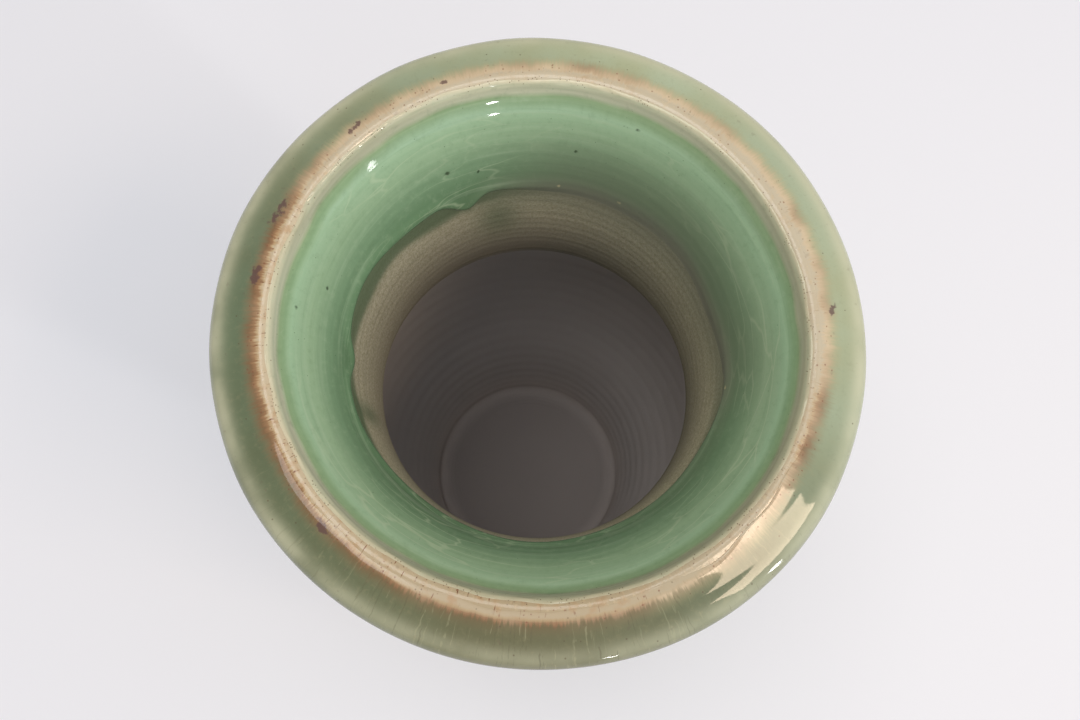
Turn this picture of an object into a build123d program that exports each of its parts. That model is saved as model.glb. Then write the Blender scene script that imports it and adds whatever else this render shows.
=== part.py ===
from build123d import *
from math import cos, radians, sin, tan
import os

# Meiping vase with a flared mouth and a rolled lip, in millimetres.
# It is thrown in sections that are luted together, and has a coat of glaze outside and one in the mouth.
# The origin is the middle of the standing plane. Profiles are drawn as radius and height, and turned about Z.

# Overall form
HEIGHT = 226.0
SHOULDER_RADIUS = 64.5
SHOULDER_HEIGHT = 128.0
WAIST_RADIUS = 40.5
WAIST_HEIGHT = 11.0
THROAT_RADIUS = 35.5
THROAT_DEPTH = 52.0
WALL = 6.0
BELLY_BEND = 0.42  # share of the way from waist to shoulder where the curve turns over
SHOULDER_BEND = 0.57  # share of the way from shoulder to neck where the curve turns over

# Foot ring and base disc
FOOT_RADIUS = 42.0
FOOT_HEIGHT = 6.0
FOOT_BORE_RADIUS = 33.0
FOOT_CHAMFER = 1.0
FLOOR_THICKNESS = 4.5

# Rolled lip
CREST_RADIUS = 50.0
CREST_ROUND = 1.9
LIP_SLOPE = 16.0  # degrees below level, outside the crest
BEVEL_SLOPE = 82.0  # degrees below level, inside the crest
LIP_RADIUS = 59.5
LIP_THICKNESS = 11.0
LIP_EDGE_ROUND = 2.6
LIP_UNDER_ROUND = 4.6
LIP_FILLET = 7.0
FLARE_RADIUS = 45.0
FLARE_DEPTH = 20.0
FLARE_RUN = 7.5

# Inside of the mouth
BEVEL_DEPTH = 3.4
POOL_INSET = 3.4  # from the crest in to the pool
POOL_DEPTH = 6.2
DRIP_RADIUS = 37.8
DRIP_DEPTH = 27.0

# Seams between the sections
BELLY_SEAM_HEIGHT = 92.0
NECK_SEAM_HEIGHT = 160.0
LIP_SEAM_DEPTH = 16.0

# Thickness of the glaze
GLAZE = 0.8
GLAZE_AT_FOOT = 1.2
GLAZE_AT_CREST = 0.12
GLAZE_ON_BEVEL = 0.3
GLAZE_IN_POOL = 0.8
GLAZE_AT_DRIPS = 1.0

os.makedirs("parts", exist_ok=True)

UP = (0, 1)
DOWN = (0, -1)
NECK_RADIUS = THROAT_RADIUS + WALL
REACH = 2 * max(SHOULDER_RADIUS, LIP_RADIUS, FOOT_RADIUS)
FILLET_LIMIT = 0.55  # largest share of a side that a rounding of the lip may take

waist = Vector(WAIST_RADIUS, WAIST_HEIGHT)
widest = Vector(SHOULDER_RADIUS, SHOULDER_HEIGHT)
neck_root = Vector(NECK_RADIUS, HEIGHT - THROAT_DEPTH)
throat = Vector(THROAT_RADIUS, HEIGHT - THROAT_DEPTH)
flare = Vector(FLARE_RADIUS, HEIGHT - FLARE_DEPTH)
drips = Vector(DRIP_RADIUS, HEIGHT - DRIP_DEPTH)
pool = Vector(CREST_RADIUS - POOL_INSET, HEIGHT - POOL_DEPTH)
lip_seam_height = HEIGHT - LIP_SEAM_DEPTH


def beside(curve, share, distance):
    """Point at a distance on the right of a line or an arc."""
    ahead = curve.tangent_at(share)
    return curve.position_at(share) + Vector(ahead.Y, -ahead.X) * distance


def parallel(curve, start, end):
    """Line or arc on the right of another, at a distance that goes from start to end."""
    if curve.geom_type == GeomType.LINE:
        return Line(beside(curve, 0, start), beside(curve, 1, end))
    return ThreePointArc(beside(curve, 0, start), beside(curve, 0.5, (start + end) / 2), beside(curve, 1, end))


def corner_arc(before, corner, after, radius):
    """Start, middle and end of the arc that rounds a corner."""
    back = (before - corner).normalized()
    ahead = (after - corner).normalized()
    half_angle = radians(back.get_angle(ahead) / 2)
    inward = (back + ahead).normalized()
    setback = radius / tan(half_angle)
    middle = corner + inward * (radius / sin(half_angle) - radius)
    return corner + back * setback, middle, corner + ahead * setback


# Outside of the body: from waist to shoulder and from shoulder to neck, each a hollow and a swelling arc
with BuildLine() as body_line:
    foot_side = TangentArc(waist, (FOOT_RADIUS, 0), tangent=DOWN)
    belly_bend = waist + (widest - waist) * BELLY_BEND
    lower_belly = TangentArc(waist, belly_bend, tangent=UP)
    upper_belly = TangentArc(belly_bend, widest, tangent=lower_belly % 1)
    shoulder_bend = widest + (neck_root - widest) * SHOULDER_BEND
    lower_shoulder = TangentArc(widest, shoulder_bend, tangent=UP)
    upper_shoulder = TangentArc(shoulder_bend, neck_root, tangent=lower_shoulder % 1)
    neck_side = TangentArc(neck_root, flare, tangent=UP)

# Lip: hollow fillet under it, round edge, sloping top and round crest
with BuildLine() as lip_line:
    crest = CenterArc(
        (CREST_RADIUS, HEIGHT - CREST_ROUND), CREST_ROUND, 90 - LIP_SLOPE, LIP_SLOPE + BEVEL_SLOPE
    )
    lip_width = LIP_RADIUS - (crest @ 0).X
    under_corner = flare + (neck_side % 1) * FLARE_RUN
    lower_corner = Vector(LIP_RADIUS, HEIGHT - LIP_THICKNESS)
    upper_corner = (crest @ 0) + Vector(lip_width, -lip_width * tan(radians(LIP_SLOPE)))
    round_limit = FILLET_LIMIT * (upper_corner.Y - lower_corner.Y)
    edge_round = min(LIP_EDGE_ROUND, round_limit)
    under_round = min(LIP_UNDER_ROUND, round_limit)
    fillet_round = min(LIP_FILLET, FLARE_RUN)
    under_fillet = ThreePointArc(*corner_arc(flare, under_corner, lower_corner, fillet_round))
    lower_edge = ThreePointArc(*corner_arc(under_corner, lower_corner, upper_corner, under_round))
    upper_edge = ThreePointArc(*corner_arc(lower_corner, upper_corner, crest @ 0, edge_round))
    flare_side = Line(flare, under_fillet @ 0)
    underside = Line(under_fillet @ 1, lower_edge @ 0)
    lip_side = Line(lower_edge @ 1, upper_edge @ 0)
    lip_top = Line(upper_edge @ 1, crest @ 0)

# Inside of the mouth: steep bevel, hollow pool, trumpet and throat
with BuildLine() as mouth_line:
    bevel_drop = (crest @ 1).Y - (HEIGHT - BEVEL_DEPTH)
    bevel = Line(crest @ 1, (crest @ 1) - Vector(bevel_drop / tan(radians(BEVEL_SLOPE)), bevel_drop))
    throat_side = TangentArc(throat, drips, tangent=UP)
    trumpet_side = TangentArc(drips, pool, tangent=throat_side % 1)
    pool_side = TangentArc(pool, bevel @ 1, tangent=trumpet_side % 1)

# Inside of the body, one wall's thickness from the outside
with BuildLine() as hollow_line:
    for side in (upper_shoulder, lower_shoulder, upper_belly, lower_belly):
        parallel(side, -WALL, -WALL)
    floor_side = Line((WAIST_RADIUS - WALL, WAIST_HEIGHT), (WAIST_RADIUS - WALL, 0))

with BuildSketch() as clay_wall:
    with BuildLine():
        add(body_line.line)
        add(lip_line.line)
        add(mouth_line.line)
        add(hollow_line.line)
        Line(floor_side @ 1, foot_side @ 1)
    make_face()

with BuildSketch() as hollow:
    with BuildLine():
        add(hollow_line.line)
        Polyline(throat, (0, throat.Y), (0, 0), floor_side @ 1)
    make_face()

# Foot ring, turned with a chamfer on both edges that it stands on
with BuildPart() as foot_ring:
    with BuildSketch(Plane.XZ):
        with BuildLine():
            add(foot_side)
            Polyline(foot_side @ 1, (FOOT_BORE_RADIUS, 0), (FOOT_BORE_RADIUS, WAIST_HEIGHT), waist)
        make_face()
        Rectangle(REACH, 2 * FOOT_HEIGHT, mode=Mode.INTERSECT)
    revolve(axis=Axis.Z)
    chamfer(foot_ring.edges().group_by(Axis.Z)[0], FOOT_CHAMFER)

# Base disc, inside the wall and on the foot ring
with BuildPart() as base_disc:
    with BuildSketch(Plane.XZ):
        add(hollow.sketch)
        with Locations((0, FOOT_HEIGHT)):
            Rectangle(REACH, FLOOR_THICKNESS, align=(Align.CENTER, Align.MIN), mode=Mode.INTERSECT)
    revolve(axis=Axis.Z)

# Lower body, from the foot ring to the belly seam
with BuildPart() as lower_body:
    with BuildSketch(Plane.XZ):
        add(clay_wall.sketch)
        with Locations((0, FOOT_HEIGHT)):
            Rectangle(
                REACH,
                BELLY_SEAM_HEIGHT - FOOT_HEIGHT,
                align=(Align.CENTER, Align.MIN),
                mode=Mode.INTERSECT,
            )
    revolve(axis=Axis.Z)

# Shoulder, from the belly seam to the root of the neck
with BuildPart() as shoulder:
    with BuildSketch(Plane.XZ):
        add(clay_wall.sketch)
        with Locations((0, BELLY_SEAM_HEIGHT)):
            Rectangle(
                REACH,
                NECK_SEAM_HEIGHT - BELLY_SEAM_HEIGHT,
                align=(Align.CENTER, Align.MIN),
                mode=Mode.INTERSECT,
            )
    revolve(axis=Axis.Z)

# Neck, a trumpet from its root to the lip seam
with BuildPart() as neck:
    with BuildSketch(Plane.XZ):
        add(clay_wall.sketch)
        with Locations((0, NECK_SEAM_HEIGHT)):
            Rectangle(
                REACH,
                lip_seam_height - NECK_SEAM_HEIGHT,
                align=(Align.CENTER, Align.MIN),
                mode=Mode.INTERSECT,
            )
    revolve(axis=Axis.Z)

# Rolled lip, on the rim of the neck
with BuildPart() as rolled_lip:
    with BuildSketch(Plane.XZ):
        add(clay_wall.sketch)
        with Locations((0, lip_seam_height)):
            Rectangle(REACH, LIP_SEAM_DEPTH, align=(Align.CENTER, Align.MIN), mode=Mode.INTERSECT)
    revolve(axis=Axis.Z)

# Outer coat of glaze, thick above the foot and thin at the crest of the lip
coat_stretches = (
    (lower_belly, GLAZE_AT_FOOT, GLAZE),
    (upper_belly, GLAZE, GLAZE),
    (lower_shoulder, GLAZE, GLAZE),
    (upper_shoulder, GLAZE, GLAZE),
    (neck_side, GLAZE, GLAZE),
    (flare_side, GLAZE, GLAZE),
    (under_fillet, GLAZE, GLAZE),
    (underside, GLAZE, GLAZE),
    (lower_edge, GLAZE, GLAZE),
    (lip_side, GLAZE, GLAZE),
    (upper_edge, GLAZE, GLAZE),
    (lip_top, GLAZE, GLAZE_AT_CREST),
)
with BuildPart() as outer_glaze:
    with BuildSketch(Plane.XZ):
        with BuildLine():
            for side, start, end in coat_stretches:
                add(side)
                parallel(side, start, end)
            Line(waist, beside(lower_belly, 0, GLAZE_AT_FOOT))
            Line(crest @ 0, beside(lip_top, 1, GLAZE_AT_CREST))
        make_face()
    revolve(axis=Axis.Z)

# Glaze in the mouth: thin under the crest, thick in the pool and at the drips above the throat
with BuildPart() as mouth_glaze:
    with BuildSketch(Plane.XZ):
        with BuildLine():
            add(bevel)
            add(pool_side)
            add(trumpet_side)
            bevel_coat = Line(beside(bevel, 0, GLAZE_AT_CREST), beside(pool_side, 1, -GLAZE_ON_BEVEL))
            parallel(pool_side, -GLAZE_IN_POOL, -GLAZE_ON_BEVEL)
            trumpet_coat = parallel(trumpet_side, -GLAZE_AT_DRIPS, -GLAZE_IN_POOL)
            Line(crest @ 1, bevel_coat @ 0)
            Line(drips, trumpet_coat @ 0)
        make_face()
    revolve(axis=Axis.Z)

foot_ring.part.label = "foot_ring"
base_disc.part.label = "base_disc"
lower_body.part.label = "lower_body"
shoulder.part.label = "shoulder"
neck.part.label = "neck"
rolled_lip.part.label = "rolled_lip"
outer_glaze.part.label = "outer_glaze"
mouth_glaze.part.label = "mouth_glaze"

export_step(foot_ring.part, "parts/foot_ring.step")
export_step(base_disc.part, "parts/base_disc.step")
export_step(lower_body.part, "parts/lower_body.step")
export_step(shoulder.part, "parts/shoulder.step")
export_step(neck.part, "parts/neck.step")
export_step(rolled_lip.part, "parts/rolled_lip.step")
export_step(outer_glaze.part, "parts/outer_glaze.step")
export_step(mouth_glaze.part, "parts/mouth_glaze.step")
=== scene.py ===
import math

import bpy
import numpy as np
from mathutils import Color, Matrix, Vector


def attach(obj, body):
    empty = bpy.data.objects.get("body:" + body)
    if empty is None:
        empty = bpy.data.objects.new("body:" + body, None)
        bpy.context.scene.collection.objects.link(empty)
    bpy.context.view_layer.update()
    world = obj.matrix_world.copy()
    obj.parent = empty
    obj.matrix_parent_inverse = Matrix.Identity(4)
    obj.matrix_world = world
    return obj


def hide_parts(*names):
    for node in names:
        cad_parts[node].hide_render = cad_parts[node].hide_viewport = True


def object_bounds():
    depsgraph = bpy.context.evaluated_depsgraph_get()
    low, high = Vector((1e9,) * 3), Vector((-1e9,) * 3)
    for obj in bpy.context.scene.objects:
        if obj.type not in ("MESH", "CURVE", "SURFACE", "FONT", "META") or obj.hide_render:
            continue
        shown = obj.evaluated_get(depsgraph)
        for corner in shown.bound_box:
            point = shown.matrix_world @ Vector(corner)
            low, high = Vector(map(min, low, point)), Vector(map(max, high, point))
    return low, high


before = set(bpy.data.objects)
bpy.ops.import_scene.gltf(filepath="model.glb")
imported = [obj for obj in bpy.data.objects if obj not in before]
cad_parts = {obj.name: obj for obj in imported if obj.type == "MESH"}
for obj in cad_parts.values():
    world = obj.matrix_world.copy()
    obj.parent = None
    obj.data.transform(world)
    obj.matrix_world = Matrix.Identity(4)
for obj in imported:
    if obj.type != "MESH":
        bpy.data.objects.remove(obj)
cad_low, cad_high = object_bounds()

# Meiping vase with a flared mouth and a rolled lip, in metres.
# Each piece is turned from the wall's profile, with the hand of the potter and the run of the glaze added.
# Bearings and spreads are in degrees, from +X towards +Y, so that the near side is at 270.
MM = 0.001

# Profile of the clay wall, as radius and height
HEIGHT = cad_high.z
FOOT_RADIUS = 42 * MM
FOOT_HEIGHT = 6 * MM
FOOT_BORE_RADIUS = 33 * MM
FOOT_CHAMFER = 1 * MM
FLOOR_THICKNESS = 4.5 * MM
MIDDLE_RADIUS = 0.3 * MM
COVE = 7 * MM
WALL = 6 * MM
WAIST = np.array((40.5, 11.0)) * MM
SHOULDER = np.array((64.5, 128.0)) * MM
NECK_ROOT = np.array((41.5, 174.0)) * MM
THROAT = np.array((35.5, 174.0)) * MM
FLARE = np.array((45.0, 206.0)) * MM
POOL = np.array((46.6, 219.8)) * MM
DRIPS = np.array((37.8, 199.0)) * MM
BELLY_BEND = 0.42
SHOULDER_BEND = 0.57
CREST_RADIUS = 50 * MM
CREST_ROUND = 1.9 * MM
LIP_SLOPE = math.radians(16)
BEVEL_SLOPE = math.radians(82)
LIP_RADIUS = 59.5 * MM
LIP_THICKNESS = 11 * MM
LIP_EDGE_ROUND = 2.6 * MM
LIP_UNDER_ROUND = 4.6 * MM
LIP_FILLET = 7 * MM
FLARE_RUN = 7.5 * MM
BEVEL_DEPTH = 3.4 * MM
BELLY_SEAM_HEIGHT = 92 * MM
NECK_SEAM_HEIGHT = 160 * MM
LIP_SEAM_DEPTH = 16 * MM

# How finely the pieces are turned
SEGMENTS = 400
COVE_STEPS = 9
PROFILE_STEP = 0.05 * MM
CREST_STEP = 0.12 * MM
LIP_STEP = 0.3 * MM
FOOT_STEP = 0.5 * MM
MOUTH_STEP = 0.6 * MM
UNDER_LIP_STEP = 0.8 * MM
NECK_STEP = 1 * MM
DISC_STEP = 1 * MM
BODY_STEP = 1.2 * MM
HIDDEN_STEP = 3 * MM
CORNER = 0.04 * MM
EDGE_OFFSETS = np.array((0, 0.03, 0.08, 0.16, 0.28, 0.45, 0.7)) * MM
EDGE_RUN = 1 * MM
FINE_ABOVE_DRIPS = 6 * MM
FINE_ABOVE_WAIST = 3 * MM

# The potter's hand: oval and lean as count round, phase and share of each wave, then the throwing rings
WOBBLE = 0.25 * MM
OVAL_WAVES = ((2, 0.8, 1.0), (3, 2.1, 0.5))
LEAN_WAVES = ((1, -0.6, 1.0), (2, 1.9, 0.4))
LEAN_POWER = 6
RING_PITCH = 2.6 * MM
RING_DEPTH = 0.022 * MM
SECOND_RING_PITCH = 1.7 * RING_PITCH
SECOND_RING_SHARE = 0.6
SECOND_RING_PHASE = 0.3
BODY_RING_PITCH = 6 * MM
BODY_RING_DEPTH = 0.08 * MM
RINGS_BELOW_POOL = 9 * MM
RINGS_ABOVE_SEAM = 8 * MM
RINGS_BELOW_THROAT = 10 * MM
GLAZED_RING_SHARE = 0.5

# Thickness of the coats, as distance and depth: up to the crest outside, and down from the bevel inside
OUTER_DEPTHS = np.array(((14.0, 0.8), (8.0, 0.46), (6.6, 0.52), (4.4, 0.26), (1.6, 0.28), (0.0, 0.12))) * MM
MOUTH_DEPTHS = np.array((
    (-3.5, 0.05), (-1.2, 0.14), (0.0, 0.3), (1.2, 0.58), (2.2, 0.74),
    (3.4, 0.78), (4.8, 0.74), (7.0, 0.62), (12.0, 0.6), (24.0, 0.8),
)) * MM
EASE_REACH = 1.2 * MM
EASE_STEPS = 9
GLAZE_SINK = 0.15 * MM
BEVEL_RISE = 1.7 * MM

# Ridges across the coats, as height, distance from the coat's edge and spread
FOOT_ROLL = (0.56 * MM, 1.8 * MM, 2.2 * MM)
DRIP_ROLL = (0.35 * MM, 1.6 * MM, 1.6 * MM)
CREST_BEAD = (0.09 * MM, 0.5 * MM, 0.3 * MM)

# How the coats swell from their edges: plain and at the crisp stretch, or plain and where the coat is faded
FOOT_SWELL = 1.6 * MM
BEVEL_SWELL = 0.4 * MM
CREST_SWELLS = (1.5 * MM, 0.3 * MM)
CREST_POWERS = (3.0, 0.5)
CRISP_STRETCH = (318, 18)
DRIP_SWELLS = (1.4 * MM, 6.4 * MM)
DRIP_POWERS = (1.0, 3.0)

# Wavy lines round the vase, as seed, lowest and highest count of waves, and size
FOOT_EDGE_WAVES = (11, 2, 9, 0.9 * MM)
CREST_EDGE_WAVES = (12, 5, 30, 0.2 * MM)
BEVEL_EDGE_WAVES = (13, 5, 30, 0.12 * MM)
DRIP_EDGE_WAVES = (14, 3, 9, 0.5 * MM)
OLIVE_EDGE_WAVES = (15, 2, 9, 0.5 * MM)
OUTER_COAT_WAVES = (21, 3, 17, 0.04 * MM)
OUTER_COAT_WAVES_RUN = 8 * MM
BEADING = (22, 20, 90, 0.4)
IRON_BREAKS = (31, 5, 40, 0.12)
LEAST_WAVE = 0.5

# Lobes of the coats' edges, as bearing, spread and how far they reach
FOOT_LOBES = ((40, 7, -1.6 * MM), (190, 9, -1.2 * MM))
DRIP_LOBES = (
    (181, 5.0, 2.8 * MM),
    (114, 5.5, 4.6 * MM),
    (228, 24, 4 * MM),
    (70, 40, 5 * MM),
    (310, 40, 3 * MM),
    (10, 30, 3.5 * MM),
)
DRIP_RISE = 4 * MM

# What changes round the vase, as humps of bearing, spread and size
NEAR_SIDE = (268, 45)
CREAM_REACH = ((266, 42, 1.1 * MM), (138, 28, 0.4 * MM), (25, 70, 1.1 * MM), (335, 18, -0.7 * MM))
# Painted shade on the inner bevel, most on the near side
BEVEL_SHADE_ROUND = ((290, 70, 1.0), (10, 45, 0.4), (140, 28, 0.7))
# Bearings where the painted shade at the throat is weaker
LESS_THROAT_SHADE = ((190, 60, 0.65), (20, 60, 0.4))
# How thick the outer coat lies round the vase; its dark left side is partly painted shade
THICK_AND_SHADED_SIDE = 220
THICK_MEAN = 0.58
THICK_SWING = 0.6
THICK_PATCHES = ((312, 26, 0.3), (35, 25, 0.25))
FADED_SIDE = 40
FADED_HALF_WIDTH = math.radians(54)
FADED_SOFTNESS = math.radians(8)
NEAR_FADE = (330, 35, 0.2)

# Iron at the lip: a broad stretch, a streak and a gap
IRON_SIDE = 218
IRON_HALF_WIDTH = math.radians(80)
IRON_POWER = 4
IRON_PEAK = 1.2
IRON_LEAST = 0.2
IRON_STREAK = (337, 14, 0.8)
IRON_GAP = (30, 40, 0.15)

# Spots, as bearing, and in millimetres the length from the crest, width round and length along:
# blotches of iron at the lip, dark specks and pale spots in the mouth, runs of glaze over the bare neck
IRON_BLOTCHES = (
    (169.5, -2.2, 2.0, 0.9),
    (156.0, -2.7, 2.4, 0.9),
    (132.0, -2.0, 1.5, 0.7),
    (111.0, -1.2, 0.8, 0.5),
    (224.0, -2.0, 1.2, 0.9),
    (3.0, -3.1, 0.8, 1.0),
)
DARK_SPECKS = (
    (117.0, 18.6, 0.9, 0.6),
    (79.0, 17.0, 0.6, 0.5),
    (64.5, 8.0, 0.6, 0.4),
    (165.5, 15.1, 0.6, 0.5),
    (108.0, 21.0, 0.5, 0.5),
    (174.0, 8.5, 0.5, 0.6),
)
PALE_SPOTS = (
    (122.5, 28.4, 0.9, 1.0),
    (83.0, 27.5, 0.6, 0.6),
    (62.5, 27.2, 0.6, 0.6),
    (349.5, 25.8, 0.6, 0.6),
)
NECK_SMEARS = ((196.0, 37.0, 2.2, 9.0), (103.0, 39.5, 5.0, 8.5))
SMEAR_SHARE = 0.75

# Where the clay is stained under the drips, painted shade that darkens it towards the throat and the grey
# below it, where the lip begins, and the painted reflection along the lip's outer edge
OLIVE_DEPTH = 31.4 * MM
OLIVE_LOBE = (128, 14, 3 * MM)
STAIN_START = 2 * MM
STAIN_REACH = (0.8 * MM, 5.3 * MM)
STAIN_SOFTNESS = (0.5 * MM, 3.1 * MM)
SHADE_RUN = 20 * MM
DEEP_START = 6 * MM
DEEP_RUN = 14 * MM
LIP_RUN = 8 * MM
# Painted reflection along the lip's outer edge: strength, distance past the edge and spread
PAINTED_EDGE_REFLECTION = (1.0, 0.8 * MM, 1.8 * MM)

UP = np.array((0.0, 1.0))
BEARING = np.linspace(0, math.tau, SEGMENTS, endpoint=False)


def turned(vector):
    """A flat vector turned a quarter to the left."""
    return np.array((-vector[1], vector[0]))


def arc_points(centre, radius, first, last):
    """Points of an arc from one angle to another."""
    count = max(3, int(radius * abs(last - first) / PROFILE_STEP))
    angles = np.linspace(first, last, count)
    return centre + radius * np.stack((np.cos(angles), np.sin(angles)), axis=1)


def angle_of(vector):
    return math.atan2(vector[1], vector[0])


def tangent_arc(start, end, ahead):
    """Points of the arc that leaves start in a direction and comes to end, and its direction there."""
    side = turned(ahead)
    chord = end - start
    reach = chord @ chord / (2 * (side @ chord))
    centre = start + side * reach
    first = angle_of(start - centre)
    last = angle_of(end - centre)
    turn = (last - first) % math.tau if reach > 0 else -((first - last) % math.tau)
    points = arc_points(centre, abs(reach), first, first + turn)
    return points, turned(end - centre) / reach


def corner_arc(before, corner, after, radius):
    """Points of the arc that rounds a corner."""
    back = (before - corner) / np.linalg.norm(before - corner)
    ahead = (after - corner) / np.linalg.norm(after - corner)
    half_angle = math.acos(back @ ahead) / 2
    inward = (back + ahead) / np.linalg.norm(back + ahead)
    centre = corner + inward * radius / math.sin(half_angle)
    setback = radius / math.tan(half_angle)
    first = angle_of(corner + back * setback - centre)
    last = angle_of(corner + ahead * setback - centre)
    turn = (last - first + math.pi) % math.tau - math.pi
    return arc_points(centre, radius, first, first + turn)


class Curve:
    """A smooth line in radius and height, measured along its length, with the air on its right."""

    def __init__(self, *stretches):
        points = [stretches[0]]
        for stretch in stretches[1:]:
            gap = stretch[0] - points[-1][-1]
            count = int(np.linalg.norm(gap) / PROFILE_STEP)
            if count > 1:
                shares = np.linspace(0, 1, count + 1)[1:-1, None]
                points.append(points[-1][-1] + gap * shares)
            points.append(stretch[1:] if count == 0 else stretch)
        self.points = np.concatenate(points)
        steps = np.linalg.norm(np.diff(self.points, axis=0), axis=1)
        self.lengths = np.concatenate(([0], np.cumsum(steps)))
        self.end = self.lengths[-1]
        ahead = np.gradient(self.points, self.lengths, axis=0)
        ahead /= np.linalg.norm(ahead, axis=1)[:, None]
        self.normals = np.stack((ahead[:, 1], -ahead[:, 0]), axis=1)

    def at(self, length, lift=0):
        """Radius and height at a length along the curve, lifted into the air."""
        radius = np.interp(length, self.lengths, self.points[:, 0])
        height = np.interp(length, self.lengths, self.points[:, 1])
        radius = radius + lift * np.interp(length, self.lengths, self.normals[:, 0])
        height = height + lift * np.interp(length, self.lengths, self.normals[:, 1])
        return radius, height

    def nearest(self, point):
        """Length along the curve of its point nearest to a given one."""
        return self.lengths[np.argmin(np.linalg.norm(self.points - point, axis=1))]

    def where_height(self, height, first, last):
        """Length at which a stretch of the curve passes a height."""
        stretch = (self.lengths >= first) & (self.lengths <= last)
        gaps = np.where(stretch, np.abs(self.points[:, 1] - height), np.inf)
        return self.lengths[np.argmin(gaps)]


def lip_stretches(neck_end_direction):
    """The lip from its hollow fillet to the crest, and the bevel's lower end."""
    crest_centre = np.array((CREST_RADIUS, HEIGHT - CREST_ROUND))
    crest = arc_points(crest_centre, CREST_ROUND, math.pi / 2 - LIP_SLOPE, math.pi / 2 + BEVEL_SLOPE)
    width = LIP_RADIUS - crest[0, 0]
    under_corner = FLARE + neck_end_direction * FLARE_RUN
    lower_corner = np.array((LIP_RADIUS, HEIGHT - LIP_THICKNESS))
    upper_corner = crest[0] + np.array((width, -width * math.tan(LIP_SLOPE)))
    under_fillet = corner_arc(FLARE, under_corner, lower_corner, LIP_FILLET)
    lower_edge = corner_arc(under_corner, lower_corner, upper_corner, LIP_UNDER_ROUND)
    upper_edge = corner_arc(lower_corner, upper_corner, crest[0], LIP_EDGE_ROUND)
    drop = crest[-1, 1] - (HEIGHT - BEVEL_DEPTH)
    bevel_end = crest[-1] - np.array((drop / math.tan(BEVEL_SLOPE), drop))
    return (under_fillet, lower_edge, upper_edge, crest), bevel_end


def wall_profile():
    """The whole skin of the clay wall, from the foot up the outside, over the crest and down the inside."""
    foot_side = tangent_arc(WAIST, np.array((FOOT_RADIUS, 0)), -UP)[0][::-1]
    belly_bend = WAIST + (SHOULDER - WAIST) * BELLY_BEND
    shoulder_bend = SHOULDER + (NECK_ROOT - SHOULDER) * SHOULDER_BEND
    lower_belly, ahead = tangent_arc(WAIST, belly_bend, UP)
    upper_belly, ahead = tangent_arc(belly_bend, SHOULDER, ahead)
    lower_shoulder, ahead = tangent_arc(SHOULDER, shoulder_bend, UP)
    upper_shoulder, ahead = tangent_arc(shoulder_bend, NECK_ROOT, ahead)
    neck_side, ahead = tangent_arc(NECK_ROOT, FLARE, UP)
    lip, bevel_end = lip_stretches(ahead)
    throat_side, ahead = tangent_arc(THROAT, DRIPS, UP)
    trumpet_side, ahead = tangent_arc(DRIPS, POOL, ahead)
    pool_side, ahead = tangent_arc(POOL, bevel_end, ahead)
    body = Curve(lower_belly, upper_belly, lower_shoulder, upper_shoulder)
    hollow = (body.points - body.normals * WALL)[::-1]
    floor_side = np.array(((WAIST[0] - WALL, FOOT_HEIGHT),))
    outside = (foot_side, lower_belly, upper_belly, lower_shoulder, upper_shoulder, neck_side)
    inside = (pool_side[::-1], trumpet_side[::-1], throat_side[::-1], hollow, floor_side)
    return Curve(*outside, *lip, *inside), lip[-1], bevel_end


wall, crest_points, bevel_end = wall_profile()

# Places along the wall, as lengths from the foot
AT_WAIST = wall.nearest(WAIST)
AT_FLARE = wall.nearest(FLARE)
AT_CREST_OUTSIDE = wall.nearest(crest_points[0])
AT_CREST_INSIDE = wall.nearest(crest_points[-1])
AT_CREST = wall.nearest(np.array((CREST_RADIUS, HEIGHT)))
AT_LIP_EDGE = wall.nearest(np.array((LIP_RADIUS, HEIGHT - LIP_EDGE_ROUND)))
AT_BEVEL_END = wall.nearest(bevel_end)
AT_POOL = wall.nearest(POOL)
AT_DRIPS = wall.nearest(DRIPS)
AT_THROAT = wall.nearest(THROAT)
AT_FOOT_TOP = wall.where_height(FOOT_HEIGHT, 0, AT_WAIST)
AT_BELLY_OUT = wall.where_height(BELLY_SEAM_HEIGHT, AT_WAIST, AT_FLARE)
AT_NECK_OUT = wall.where_height(NECK_SEAM_HEIGHT, AT_WAIST, AT_FLARE)
AT_LIP_OUT = wall.where_height(HEIGHT - LIP_SEAM_DEPTH, AT_FLARE, AT_CREST_OUTSIDE)
AT_LIP_IN = wall.where_height(HEIGHT - LIP_SEAM_DEPTH, AT_POOL, AT_DRIPS)
AT_NECK_IN = wall.where_height(NECK_SEAM_HEIGHT, AT_THROAT, wall.end)
AT_BELLY_IN = wall.where_height(BELLY_SEAM_HEIGHT, AT_THROAT, wall.end)


def evenly(first, last, step):
    """Lengths from one place to another."""
    count = max(2, math.ceil(abs(last - first) / step) + 1)
    return np.linspace(first, last, count)


def rise(distance, run):
    """A straight rise from nothing to one over a run."""
    return np.clip(distance / run, 0, 1)


def round_edge(distance, run):
    """How a coat swells from nothing at its edge to its full thickness."""
    return np.sqrt(1 - (1 - rise(distance, run)) ** 2)


def falling(distance, softness):
    """A soft fall from one to nothing where a distance passes zero."""
    return 1 / (1 + np.exp(distance / softness))


def ridge(distance, size, place, spread):
    """A round-topped ridge at a place along a distance."""
    return size * np.exp(-(((distance - place) / spread) ** 2))


def blend(ends, share):
    """A value between two ends."""
    first, last = ends
    return first + (last - first) * share


def turn_apart(bearing):
    """Angle from each segment to a bearing given in degrees, in radians."""
    return (BEARING - math.radians(bearing) + math.pi) % math.tau - math.pi


def bump(bearing, spread, size=1.0):
    """A round-topped hump about a bearing."""
    return ridge(turn_apart(bearing), size, 0, math.radians(spread))


def bumps(humps):
    return sum(bump(*hump) for hump in humps)


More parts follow.
